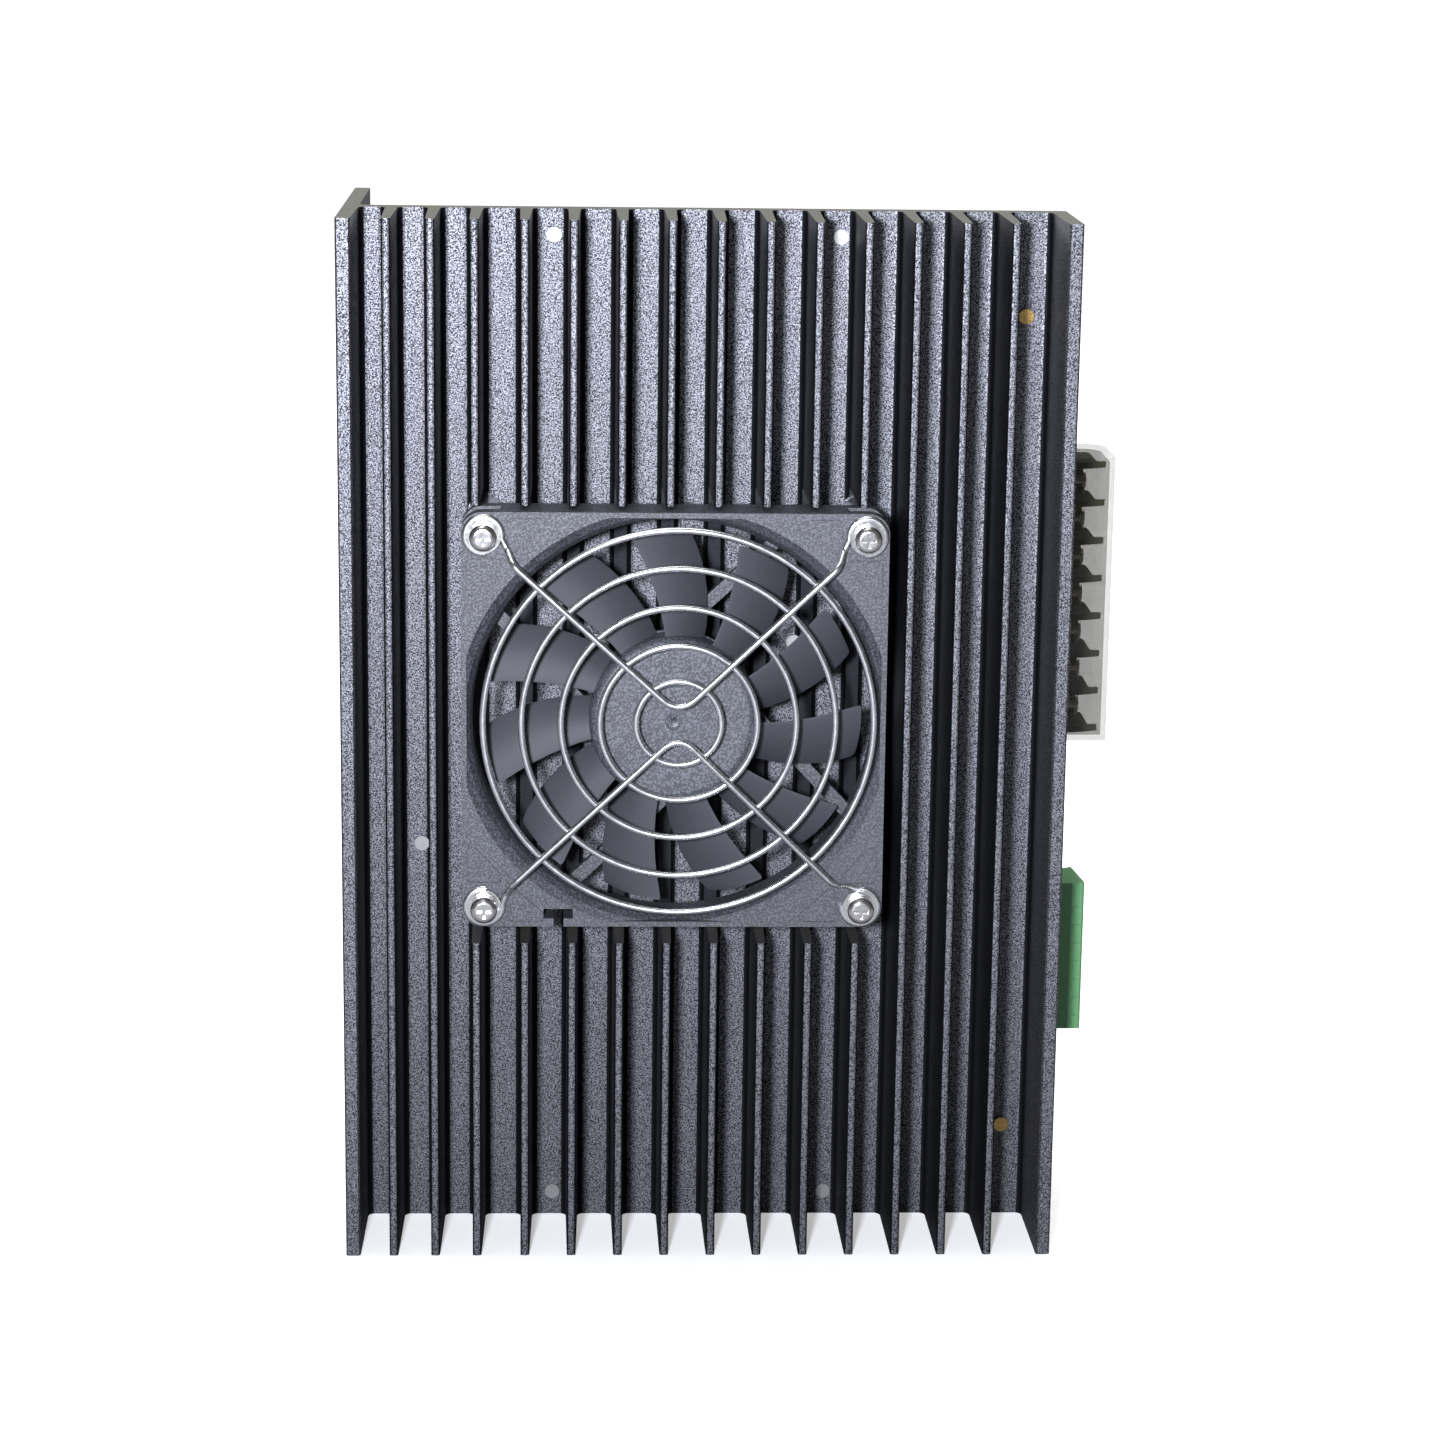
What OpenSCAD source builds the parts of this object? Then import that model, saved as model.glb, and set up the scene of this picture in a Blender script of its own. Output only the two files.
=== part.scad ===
// Fan-cooled servo drive for mounting on its side wall.
// X runs across the fins, Y from the fin tips to the back of the cover, Z up along the fins.
// Every module is drawn from the outer left, front, bottom corner of the heat sink,
// and place() moves it so that the origin is under the middle of the whole drive.

/* [Heat sink] */
// Height of the extrusion, along the fins
sink_h = 201.6; // [195:0.2:210]
// Width over the two outer flanges
sink_w = 137.8; // [137.4:0.1:138.4]
// Depth of a channel, from fin tip to floor
fin_d = 23; // [22.5:0.1:23.5]
// Thickness of the base plate
plate_t = 4; // [3.8:0.1:4.4]
// Thickness of a fin at its tip
fin_tip = 1.7; // [1.5:0.1:2]
// Thickness of a fin where it meets its fillets
fin_root = 2.3; // [2.1:0.1:2.8]
// Radius of the fillet along each channel floor
fillet_r = 1.4; // [1:0.1:1.5]
// Thickness of the mounting wall and of the flange in front of it
wall_t = 3; // [2.8:0.1:3.2]
// Distance of the wall's back edge from the fin tips
wall_y = 64.3; // [64:0.1:66]
// Thickness of the right flange
flange_t = 2.7; // [2.4:0.1:3]
// Diameter of the four holes in the mounting wall
mount_d = 4.5; // [4.2:0.1:5]
// Height of the fin stubs left on the floor behind the fan
stub_h = 1; // [0.6:0.1:1.4]

/* [Fan] */
// Side of the square fan frame
fan_s = 80; // [80:1:80]
// Depth of the fan
fan_d = 10; // [10:0.1:10.6]
// Distance between the fan's screw holes
fan_pitch = 71.5; // [71:0.1:72]
// Radius of the fan's bore
bore_r = 38.1; // [37.8:0.1:38.3]
// Radius of the rotor's hub
hub_r = 16; // [15:0.1:16.5]
// Number of blades
blade_n = 11; // [7:1:11]
// Radius over the blade tips
blade_r = 35.6; // [35:0.1:37.4]
// Distance by which the fan stands in front of the fin tips
fan_proud = 3; // [2.5:0.1:3.5]

/* [Finger guard] */
// Diameter of the guard's wire
wire_d = 1.15; // [1:0.05:1.3]
// Radius of the innermost ring
ring_first = 8.2; // [7.5:0.1:9]
// Step from one ring to the next
ring_step = 6.98; // [6.8:0.02:7.1]
// Number of rings
ring_n = 5; // [3:1:5]

/* [Cover] */
// Thickness of the cover's sheet
sheet_t = 1.2; // [1:0.1:1.3]
// Distance of the cover's ends from the ends of the heat sink
cover_inset = 10.8; // [10.4:0.1:11]

/* [Terminal block] */
// Number of power terminals
pole_n = 7; // [7:1:7]
// Distance between power terminals
pole_p = 7.62; // [7.62:0.01:7.62]
// Thickness of the barriers between terminals
barrier_t = 1.2; // [1:0.1:1.4]
// Thickness of the clear flap
flap_t = 1.1; // [0.9:0.1:1.2]

/* [Signal plug] */
// Number of signal wires
way_n = 8; // [8:1:8]
// Distance between signal wires
way_p = 3.81; // [3.81:0.01:3.81]

/* [Setting switches] */
// Number of levers in the switch
lever_n = 6; // [6:1:6]
// Distance between levers
lever_p = 2.54; // [2.54:0.01:2.54]
// Travel of a lever
lever_travel = 1.8; // [1.5:0.1:1.9]

/* [Power board] */
// Height of the brass pillars under the power board
pillar_h = 5.9; // [5.9:0.1:5.9]
// Thickness of both circuit boards
board_t = 1.6; // [1.6:0.1:1.6]
// Radius of a bus capacitor
cap_r = 12.5; // [10:0.5:12.5]

/* [Hidden] */

$fn = 48;

// Radii of an M3 screw, of its threaded hole and of its clearance hole
m3_r = 1.45;
m3_tap_r = 1.5;
m3_free_r = 1.7;

// Planes along Y
floor_y = fin_d;
plate_y = fin_d + plate_t;
cover_y = wall_y - 0.1;
stub_y = floor_y - stub_h;

// Fin centres: three close together behind the left flange, the rest at one pitch
near_fins = [for (i = [0:2]) 9.3 + 8.1 * i];
far_fins = [for (i = [0:10]) 34.8 + 9.06 * i];
fins = concat(near_fins, far_fins);

// Fan, and the pocket milled for it through nine fins
fan_x = 62.9;
fan_z = 107.8;
fan_front = -fan_proud;
fan_back = fan_front + fan_d;
pocket_x = [21, 103.8];
pocket_z = [63.6, 148.5];
fan_corner_r = 4;
hub_front = fan_front + 1;
hub_back = fan_back - 2.2;
blade_front = fan_front + 2.3;
blade_back = fan_back - 2.4;
shaft_r = 1;
bearing_r = 2.2;
corners = [[-1, 1], [1, 1], [-1, -1], [1, -1]];

// Guard: the rings lie behind the legs, a little up and right of the fan's centre
guard_shift = [0.8, 0.6];
wire_r = wire_d / 2;
ring_y = fan_front - 3.29;
leg_y = ring_y - wire_d - 0.01;
loop_y = fan_front - wire_r;
loop_r = 3.45;
leg_bend_r = 5;
leg_gap = 3.3;
joggle = 3.5;
washer_t = 0.6;
spring_t = 0.9;
head_h = 2.2;
washer_y = fan_front - wire_d - washer_t;
spring_y = washer_y - spring_t;

// Cover: it stands on the plate's back, inside the mounting wall
panel_x = 136.6;
lip_x = wall_t + 0.1;
lip_y = 52;
bend_r = 2;
cover_z = [cover_inset, sink_h - cover_inset];
tab_w = 20;
tab_end = 0.8;
tab_x = [40, 94.5];
tab_screw_z = 4.9;

// Holes through the mounting wall
mount_y = [34, 56];
mount_z = [5.4, sink_h - 5.4];

// Terminal block and its flap
block_z = [97.9, 150.3];
pole_top = 150.55;
block_x = [127, 142.6];
block_y = [36.2, 52.2];
barrier_x = 148.9;
pivot = [141, 50.9];
pivot_r = 0.9;
flap_x = [137.5, 150.4];
flap_y = [34.5, 53.4];
flap_z = [95.7, 152.7];
flap_end_t = 0.9;
barrier_reach = pivot[1] - flap_y[0] - flap_t - 0.35;
pole_screw_y = 45;

// Signal plug and header
plug_z = [36.8, 36.8 + way_n * way_p];
plug_x = [137.2, 146.5];
plug_y = [30, 41.6];
nose_x = 129;
header_x = 126;
nose_y = [31.6, 40.4];
way_y = 36;

// Boards
board_y = plate_y + pillar_h;
board_top = board_y + board_t;
control_y = 43.4;
control_top = control_y + board_t;
power_x = [6, 134];
board_z = [14, 188];
control_x = [60, 134];
control_z = [14, 94];
through_pillars = [[130.2, 181.9], [130.1, 19.2]];
blind_pillars = [[17.5, 181.9], [17.5, 19.2]];
control_posts = [[65, 20], [65, 88], [116, 20], [116, 88]];

// Encoder socket, switch and lamps in the front panel
encoder_yz = [46, 171];
jack_pitch = 25;
switch_z = [72.4, 89.6];
switch_y = [control_top, 54];
lever_first = 81 - lever_p * (lever_n - 1) / 2;
lever_y = 48.6;
lamp_y = 49;
lamp_z = [18, 26];

// Power parts on the plate's back: [x, z] of the screws through the plate
rectifier_xz = [14.3, 77.3];
brake_xz = [39.3, 77.3];
module_xz = [[48.2, 118], [86.7, 118]];
pad_t = 0.4;
caps = [[32, 155], [60, 155], [88, 155]];
cap_h = 25;

// Extent of the whole drive
drive_x = [0, flap_x[1]];
drive_y = [min(spring_y - head_h, leg_y - wire_r), wall_y];
origin = [(drive_x[0] + drive_x[1]) / 2, (drive_y[0] + drive_y[1]) / 2];

// Points along an arc, from angle a0 to a1
function arc(c, r, a0, a1, n = 5) =
    [for (i = [0:n]) c + r * [cos(a0 + (a1 - a0) * i / n), sin(a0 + (a1 - a0) * i / n)]];

// The range r, moved to lie about c
function at(c, r) = [c + r[0], c + r[1]];

module place() { translate([-origin[0], -origin[1], 0]) children(); }

module box(x, y, z) {
    translate([x[0], y[0], z[0]]) cube([x[1] - x[0], y[1] - y[0], z[1] - z[0]]);
}

// A round bar along Y or along X
module bar_y(x, z, y0, y1, r) {
    translate([x, y0, z]) rotate([-90, 0, 0]) cylinder(h = y1 - y0, r = r);
}
module bar_x(x0, x1, y, z, r) {
    translate([x0, y, z]) rotate([0, 90, 0]) cylinder(h = x1 - x0, r = r);
}

// A slot along X in the XY or XZ plane, drawn flat
module slot_2d(length, width) {
    square([length - width, width], center = true);
    for (s = [-1, 1]) translate([s * (length - width) / 2, 0]) circle(d = width, $fn = 24);
}

// ---- heat sink ----

// One fin's outline, from the fillet on its left to the fillet on its right
function fin_outline(x) = let (t = fin_tip / 2, b = fin_root / 2, e = 0.55, f = fillet_r) concat(
    arc([x - b - f, floor_y - f], f, 90, 0),
    arc([x - t + e, e], e, 180, 270, 3),
    arc([x + t - e, e], e, 270, 360, 3),
    arc([x + b + f, floor_y - f], f, 180, 90));

module sink_profile() {
    c = 0.35;
    f = fillet_r;
    polygon(concat(
        [[0, c], [c, 0], [wall_t - 0.2 - c, 0], [wall_t - 0.2, c]],
        arc([wall_t + 0.1 + f, floor_y - f], f, 180, 90),
        [for (x = fins) each fin_outline(x)],
        arc([sink_w - flange_t - 0.3 - f, floor_y - f], f, 90, 0),
        [[sink_w - flange_t, c], [sink_w - flange_t + c, 0], [sink_w - c, 0], [sink_w, c]],
        [[sink_w, plate_y - c], [sink_w - c, plate_y]],
        arc([wall_t + f, plate_y + f], f, 270, 180),
        [[wall_t, wall_y - c], [wall_t - c, wall_y], [c, wall_y], [0, wall_y - c]]));
}

module heatsink() place() color("#26272b") difference() {
    linear_extrude(height = sink_h) sink_profile();
    box(pocket_x, [-1, stub_y], pocket_z);
    for (c = corners) {
        x = fan_x + c[0] * fan_pitch / 2;
        z = fan_z + c[1] * fan_pitch / 2;
        bar_y(x, z, stub_y - 1, floor_y, 3.6);
        bar_y(x, z, floor_y - 1, plate_y + 1, m3_tap_r);
    }
    for (x = tab_x, z = [tab_screw_z, sink_h - tab_screw_z]) bar_y(x, z, floor_y - 1, plate_y + 1, m3_tap_r);
    for (p = concat([rectifier_xz, brake_xz], module_xz, through_pillars))
        bar_y(p[0], p[1], stub_y - 1, plate_y + 1, m3_tap_r);
    for (p = blind_pillars) bar_y(p[0], p[1], plate_y - 3.4, plate_y + 1, m3_tap_r);
    for (y = mount_y, z = mount_z) bar_x(-1, wall_t + 1, y, z, mount_d / 2);
}

// ---- fan ----

// Square frame with rounded corners, drawn in the XZ plane about the fan's centre
module fan_square(s, r) {
    square([s, s - 2 * r], center = true);
    square([s - 2 * r, s], center = true);
    for (c = corners) translate([c[0], c[1]] * (s / 2 - r)) circle(r = r);
}

// Lays a flat drawing upright about the fan's centre, from y0 to y1
module upright(y0, y1) {
    translate([fan_x, y1, fan_z]) rotate([90, 0, 0]) linear_extrude(height = y1 - y0) children();
}

// A solid turned about the fan's own axis, with its profile as [radius, y]
module turned(points) {
    translate([fan_x, 0, fan_z]) rotate([90, 0, 0]) mirror([0, 0, 1]) rotate_extrude($fn = 96)
        polygon(points);
}

// Rounded triangle beside a corner screw, its edge this far outside the centres of its corners
function corner_mark(r) = concat(arc([30.3, 37.9], r, 0, 90, 3), arc([25.2, 37.9], r, 90, 228, 4),
    arc([30.3, 33.3], r, 228, 360, 4));

// Fine line round the triangle in the frame's face
module corner_line() difference() {
    polygon(corner_mark(1.1));
    polygon(corner_mark(0.82));
}

// Repeats a flat drawing on both sides of each corner's diagonal
module at_corners() for (c = corners) mirror([c[0] < 0 ? 1 : 0, 0]) mirror([0, c[1] < 0 ? 1 : 0]) {
    children();
    mirror([1, -1]) children();
}

// Curved ribs that carry the motor, and its round seat
module motor_seat() {
    upright(fan_back - 1.2, fan_back) circle(r = hub_r);
    for (a = [0:90:270]) upright(fan_back - 2, fan_back) rotate(a)
        polygon([[14.5, 2.6], [14.5, -0.6], [33, -20.6], [34.6, -18.6]]);
}

module fan_frame() place() color("#3a3b3e") {
    difference() {
        upright(fan_front, fan_back) fan_square(fan_s, fan_corner_r);
        turned([[0, fan_front - 1], [bore_r, fan_front - 1], [bore_r, fan_back + 1], [0, fan_back + 1]]);
        intersection() {
            turned([[0, fan_front - 1], [41.5, fan_front - 1], [41, fan_front], [39.4, fan_front + 1.1],
                [38.5, fan_front + 2.6], [bore_r, fan_front + 4.4], [0, fan_front + 4.4]]);
            upright(fan_front - 2, fan_front + 5) square(fan_s - 2, center = true);
        }
        for (c = corners) bar_y(fan_x + c[0] * fan_pitch / 2, fan_z + c[1] * fan_pitch / 2,
            fan_front - 1, fan_back + 1, 2.15);
        upright(fan_front - 1, fan_front + 0.35) at_corners() corner_line();
        upright(fan_front - 1, fan_front + 0.12) at_corners() translate([29.1, 36.6]) circle(r = 1.2, $fn = 20);
        translate([fan_x - 24.5, fan_front - 1, fan_z - 38.4]) cube([5.6, 12, 1.9]);
        translate([fan_x - 22.6, fan_front - 1, fan_z - 41]) cube([1.9, 12, 3.2]);
        for (c = corners) translate([fan_x + c[0] * 38, (fan_front + fan_back) / 2, fan_z + c[1] * 38])
            rotate([0, 45 * c[0] * c[1], 0]) cube([30, 3.6, 5.2], center = true);
    }
    difference() {
        motor_seat();
        turned([[0, fan_front - 2], [bearing_r, fan_front - 2], [bearing_r, fan_back + 1], [0, fan_back + 1]]);
    }
}

// A point on a blade: radius r, s from the leading edge (0) to the trailing edge (1)
function blade_mid(r) = 12 * (r - 15) / (blade_r - 15);
function blade_span(r) = 27.5 - 9.5 * (r - 15) / (blade_r - 15);
function blade_thick(s) = 0.45 + 0.75 * sin(180 * s);
function blade_point(r, s, side) = let (
    a = blade_mid(r) + blade_span(r) * (0.5 - s),
    y = blade_front + 0.6 + (blade_back - blade_front - 1.2) * (s - 0.10 * sin(180 * s)) + side * blade_thick(s) / 2)
    [r * cos(a), y, r * sin(a)];

blade_rings = [for (i = [0:4]) 15.2 + (blade_r - 15.2) * i / 4];
chord_n = 5;
ring_n_pts = 2 * (chord_n + 1);

module blade() {
    points = [for (r = blade_rings) each concat(
        [for (j = [0:chord_n]) blade_point(r, j / chord_n, -1)],
        [for (j = [chord_n:-1:0]) blade_point(r, j / chord_n, 1)])];
    m = ring_n_pts;
    last = (len(blade_rings) - 1) * m;
    faces = concat(
        [for (i = [0:len(blade_rings) - 2], j = [0:m - 1]) [i * m + j, (i + 1) * m + j, i * m + (j + 1) % m]],
        [for (i = [0:len(blade_rings) - 2], j = [0:m - 1])
            [i * m + (j + 1) % m, (i + 1) * m + j, (i + 1) * m + (j + 1) % m]],
        [for (j = [0:chord_n - 1]) [j, j + 1, m - 1 - j]],
        [for (j = [0:chord_n - 1]) [j + 1, m - 2 - j, m - 1 - j]],
        [for (j = [0:chord_n - 1]) [last + j, last + m - 1 - j, last + j + 1]],
        [for (j = [0:chord_n - 1]) [last + j + 1, last + m - 1 - j, last + m - 2 - j]]);
    translate([fan_x, 0, fan_z]) polyhedron(points = points, faces = faces);
}

module fan_rotor() place() color("#303134") {
    e = 0.9;
    turned([[0, hub_front + 0.25], [1.3, hub_front + 0.25], [1.6, hub_front], [hub_r - e, hub_front],
        [hub_r - 0.25, hub_front + 0.3], [hub_r, hub_front + e], [hub_r, hub_back],
        [hub_r - 1.1, hub_back], [hub_r - 1.1, hub_front + 1.3], [2.8, hub_front + 1.3],
        [2.8, hub_front + 2.4], [shaft_r, hub_front + 2.4], [shaft_r, hub_front + 1], [0, hub_front + 1]]);
    for (i = [0:blade_n - 1]) translate([fan_x, 0, fan_z]) rotate([0, -i * 360 / blade_n - 16.7, 0])
        translate([-fan_x, 0, -fan_z]) blade();
}

module fan_magnet() place() color("#55504a")
    turned([[hub_r - 2.6, hub_front + 1.5], [hub_r - 1.15, hub_front + 1.5],
        [hub_r - 1.15, hub_back - 0.3], [hub_r - 2.6, hub_back - 0.3]]);

module fan_shaft() place() color("silver")
    turned([[0, hub_front + 1.05], [shaft_r - 0.02, hub_front + 1.05], [shaft_r - 0.02, fan_back - 0.5],
        [0, fan_back - 0.5]]);

module fan_bearing() place() color("#b08d57")
    turned([[shaft_r + 0.03, hub_front + 2.7], [bearing_r - 0.02, hub_front + 2.7],
        [bearing_r - 0.02, fan_back - 0.3], [shaft_r + 0.03, fan_back - 0.3]]);

module fan_stator() place() color("#8a4b2a") {
    upright(hub_front + 3, fan_back - 1.5) difference() {
        union() {
            circle(r = 6);
            for (a = [0:60:300]) rotate(a) translate([8, 0]) square([8.2, 3.4], center = true);
            for (a = [0:60:300]) rotate(a) translate([11.6, 0]) square([1.6, 7], center = true);
        }
        circle(r = bearing_r + 0.02);
    }
}

// Half of a bent leg, from its apex to the end of its screw loop, as points about the fan's centre.
// t is -1 for the left half and 1 for the right, s is 1 for the upper leg and -1 for the lower.
function half_leg(t, s) = let (
    c = [t * guard_shift[0], s * guard_shift[1] + leg_gap + leg_bend_r],
    hole = [fan_pitch / 2, fan_pitch / 2],
    end = hole - loop_r * [cos(45), sin(45)],
    d = end - c,
    slope = atan2(d[1], d[0]) + asin(leg_bend_r / norm(d)),
    knee = end - joggle * [cos(slope), sin(slope)],
    flat = concat([for (p = arc(c, leg_bend_r, -90, slope - 90, 4)) [p, leg_y]], [[knee, leg_y]],
        [for (p = arc(hole, loop_r, 225, -112.5, 15)) [p, loop_y]]))
    [for (q = flat) [t * q[0][0], q[1], s * q[0][1]]];

function leg_path(s) = let (left = half_leg(-1, s), right = half_leg(1, s))
    concat([for (i = [len(left) - 1:-1:1]) left[i]], right);

// A wire of radius r along a path that never runs along Y
module swept_wire(path, r, sides = 8) {
    n = len(path);
    points = [for (i = [0:n - 1]) let (
        along = path[min(i + 1, n - 1)] - path[max(i - 1, 0)],
        side = cross([0, 1, 0], along),
        u = side / norm(side),
        v = cross(along, u) / norm(along))
        for (k = [0:sides - 1]) path[i] + r * (cos(k * 360 / sides) * u + sin(k * 360 / sides) * v)];
    walls = [for (i = [0:n - 2], k = [0:sides - 1]) let (a = i * sides + k, b = i * sides + (k + 1) % sides)
        each [[a, a + sides, b], [b, a + sides, b + sides]]];
    polyhedron(points = points, faces = concat(walls, [[for (k = [0:sides - 1]) k]],
        [[for (k = [sides - 1:-1:0]) (n - 1) * sides + k]]));
}

module finger_guard() place() color("#c9c9cc") {
    for (i = [0:ring_n - 1]) translate([fan_x + guard_shift[0], ring_y, fan_z + guard_shift[1]])
        rotate([90, 0, 0]) rotate_extrude($fn = 96) translate([ring_first + i * ring_step, 0])
            circle(r = wire_r, $fn = 20);
    for (s = [-1, 1]) translate([fan_x, 0, fan_z]) swept_wire(leg_path(s), wire_r);
}

module at_fan_corners() {
    for (c = corners) translate([fan_x + c[0] * fan_pitch / 2, 0, fan_z + c[1] * fan_pitch / 2]) children();
}

// Pan head with a cross recess, its underside at y = 0 and its top at y = -head_h
module pan_head(r) {
    difference() {
        rotate([90, 0, 0]) rotate_extrude() polygon(concat([[0, 0], [r, 0], [r, head_h * 0.45]],
            arc([r - 1.1, head_h * 0.45], 1.1, 20, 90, 4), [[r - 1.1, head_h], [0, head_h]]));
        for (a = [0, 90]) translate([0, -head_h - 0.1, 0]) rotate([0, a, 0])
            translate([-r * 0.55, 0, -0.35]) cube([r * 1.1, 1.2, 0.7]);
    }
}

module fan_screws() place() color("#b9babd") at_fan_corners() {
    translate([0, spring_y, 0]) pan_head(2.55);
    bar_y(0, 0, spring_y, plate_y - 0.3, m3_r);
}

module fan_washers() place() color("#b9babd") at_fan_corners() difference() {
    bar_y(0, 0, washer_y, washer_y + washer_t, 3.3);
    bar_y(0, 0, washer_y - 1, washer_y + washer_t + 1, 1.6);
}

module fan_spring_washers() place() color("#a9aaad") at_fan_corners() difference() {
    bar_y(0, 0, spring_y, spring_y + spring_t, 2.75);
    bar_y(0, 0, spring_y - 1, spring_y + spring_t + 1, 1.6);
    box([1, 3], [spring_y - 1, spring_y + spring_t + 1], [-0.25, 0.25]);
}

module fan_spacers() place() color("#9fa1a4") at_fan_corners() difference() {
    bar_y(0, 0, fan_back, floor_y, 3.2);
    bar_y(0, 0, fan_back - 1, floor_y + 1, 1.6);
}

// ---- cover ----

module cover_profile() {
    t = sheet_t;
    back = cover_y - bend_r;
    polygon(concat(
        [[lip_x, lip_y]], arc([lip_x + bend_r, back], bend_r, 180, 90),
        arc([panel_x - bend_r, back], bend_r, 90, 0), [[panel_x, plate_y]],
        [[panel_x - t, plate_y]], arc([panel_x - bend_r, back], bend_r - t, 0, 90),
        arc([lip_x + bend_r, back], bend_r - t, 90, 180), [[lip_x + t, lip_y]]));
}

// Rows of vent slots, cut through an end wall or through the back
module end_vents(z) {
    for (x = [16:9:124]) translate([x, 47, z]) linear_extrude(height = sheet_t + 2) rotate(90) slot_2d(22, 2.8);
}
module back_vents(z) {
    for (x = [16:9:124]) translate([x, cover_y + 1, z]) rotate([90, 0, 0])
        linear_extrude(height = sheet_t + 2) rotate(90) slot_2d(26, 2.8);
}

// Openings in the front panel for what stands out of it
module panel_cuts() {
    x = [panel_x - sheet_t - 1, panel_x + 1];
    box(x, [flap_y[0] - 0.6, flap_y[1] + 0.6], [flap_z[0] - 0.6, flap_z[1] + 0.6]);
    box(x, [plug_y[0] - 0.4, control_y + 0.3], [plug_z[0] - 0.6, plug_z[1] + 0.6]);
    box(x, [switch_y[0] - 0.3, switch_y[1] + 0.3], [switch_z[0] - 0.3, switch_z[1] + 0.3]);
    box(x, at(encoder_yz[0], [-4.5, 4.5]), at(encoder_yz[1], [-8.8, 8.8]));
    for (s = [-1, 1]) bar_x(x[0], x[1], encoder_yz[0], encoder_yz[1] + s * jack_pitch / 2, 1.7);
    for (z = lamp_z) bar_x(x[0], x[1], lamp_y, z, 1.75);
}

module cover() place() color("#2c2d30") difference() {
    union() {
        translate([0, 0, cover_z[0]]) linear_extrude(height = cover_z[1] - cover_z[0]) cover_profile();
        for (z = [cover_z[0], cover_z[1] - sheet_t])
            box([lip_x + sheet_t, panel_x - sheet_t / 2], [plate_y, cover_y - sheet_t / 2], [z, z + sheet_t]);
        for (x = tab_x) {
            box(at(x, [-tab_w, tab_w] / 2), [plate_y, plate_y + sheet_t], [tab_end, cover_z[0] + sheet_t]);
            box(at(x, [-tab_w, tab_w] / 2), [plate_y, plate_y + sheet_t],
                [cover_z[1] - sheet_t, sink_h - tab_end]);
        }
    }
    for (x = tab_x, z = [tab_screw_z, sink_h - tab_screw_z]) bar_y(x, z, plate_y - 1, plate_y + 3, m3_free_r);
    for (z = [cover_z[0] - 1, cover_z[1] - sheet_t - 1]) end_vents(z);
    for (z = [cover_z[0] + 30, cover_z[1] - 30]) back_vents(z);
    panel_cuts();
}

module cover_screws() place() color("#b9babd")
    for (x = tab_x, z = [tab_screw_z, sink_h - tab_screw_z]) translate([x, plate_y + sheet_t, z]) {
        rotate([0, 0, 180]) pan_head(2.55);
        bar_y(0, 0, floor_y - 0.5 - plate_y - sheet_t, 0, m3_r);
    }

// ---- power terminals ----

function pole_z(i) = pole_top - pole_p * (i + 0.5);

// Outline of a barrier, with a lug at its front, clear of the flap's walls as it swings
module barrier_profile() intersection() {
    x = barrier_x - 1.8;
    polygon(concat([[block_x[1] - 1, block_y[0]], [barrier_x, block_y[0]], [barrier_x, block_y[0] + 2.6],
        [x, block_y[0] + 2.6]], arc([flap_x[1] - 5, flap_y[1] - 5], x - flap_x[1] + 5, 0, 90),
        [[block_x[1] - 1, flap_y[1] - flap_x[1] + x]]));
    translate(pivot) circle(r = barrier_reach, $fn = 96);
}

module terminal_block() place() color("#1b1c1e") difference() {
    union() {
        box(block_x, block_y, block_z);
        box([block_x[0], 136.9], [board_top, block_y[0]], block_z);
        for (i = [0:pole_n]) translate([0, 0, pole_top - pole_p * i - barrier_t / 4])
            linear_extrude(height = barrier_t) barrier_profile();
        translate([pivot[0], pivot[1], flap_z[0] + 0.1])
            cylinder(h = flap_z[1] - flap_z[0] - 0.2, r = pivot_r);
    }
    for (i = [0:pole_n - 1]) {
        bar_x(block_x[0] + 3, block_x[1] + 1, pole_screw_y, pole_z(i), 1.75);
        box([block_x[1] - 1.2, block_x[1] + 1], [40.5, 49.5], at(pole_z(i), [-2.9, 2.9]));
    }
}

module terminal_clamps() place() color("#c0b08a") for (i = [0:pole_n - 1]) difference() {
    union() {
        box([block_x[1] - 1.15, block_x[1] - 0.35], [40.6, 49.4], at(pole_z(i), [-2.8, 2.8]));
        box([block_x[1] + 0.2, block_x[1] + 1], [41.8, 48.2], at(pole_z(i), [-2.7, 2.7]));
    }
    bar_x(block_x[1] - 3, block_x[1] + 3, pole_screw_y, pole_z(i), 1.75);
}

module terminal_screws() place() color("#c9b98a") for (i = [0:pole_n - 1])
    translate([block_x[1] + 1, pole_screw_y, pole_z(i)]) {
        rotate([0, 0, 90]) pan_head(2.75);
        bar_x(-7, 0, 0, 0, 1.7);
    }

// Outline of the flap's end walls
module flap_end() {
    polygon(concat([[flap_x[0] + 1, flap_y[0]], [flap_x[1] - 0.6, flap_y[0]]],
        arc([flap_x[1] - 0.9, flap_y[0] + 0.9], 0.9, 270, 360, 3),
        arc([flap_x[1] - 5, flap_y[1] - 5], 5, 0, 90),
        [[flap_x[0] + 1, flap_y[1]]]));
}

// Outline of the flap's sheet: front, outer face and rounded back
module flap_sheet() {
    t = flap_t;
    polygon(concat([[flap_x[0], flap_y[0]]],
        arc([flap_x[1] - 0.9, flap_y[0] + 0.9], 0.9, 270, 360, 3),
        arc([flap_x[1] - 5, flap_y[1] - 5], 5, 0, 90),
        [[pivot[0] + 2, flap_y[1]], [pivot[0] + 2, flap_y[1] - t]],
        arc([flap_x[1] - 5, flap_y[1] - 5], 5 - t, 90, 0),
        [[flap_x[1] - t, flap_y[0] + t], [flap_x[0], flap_y[0] + t]]));
}

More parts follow.
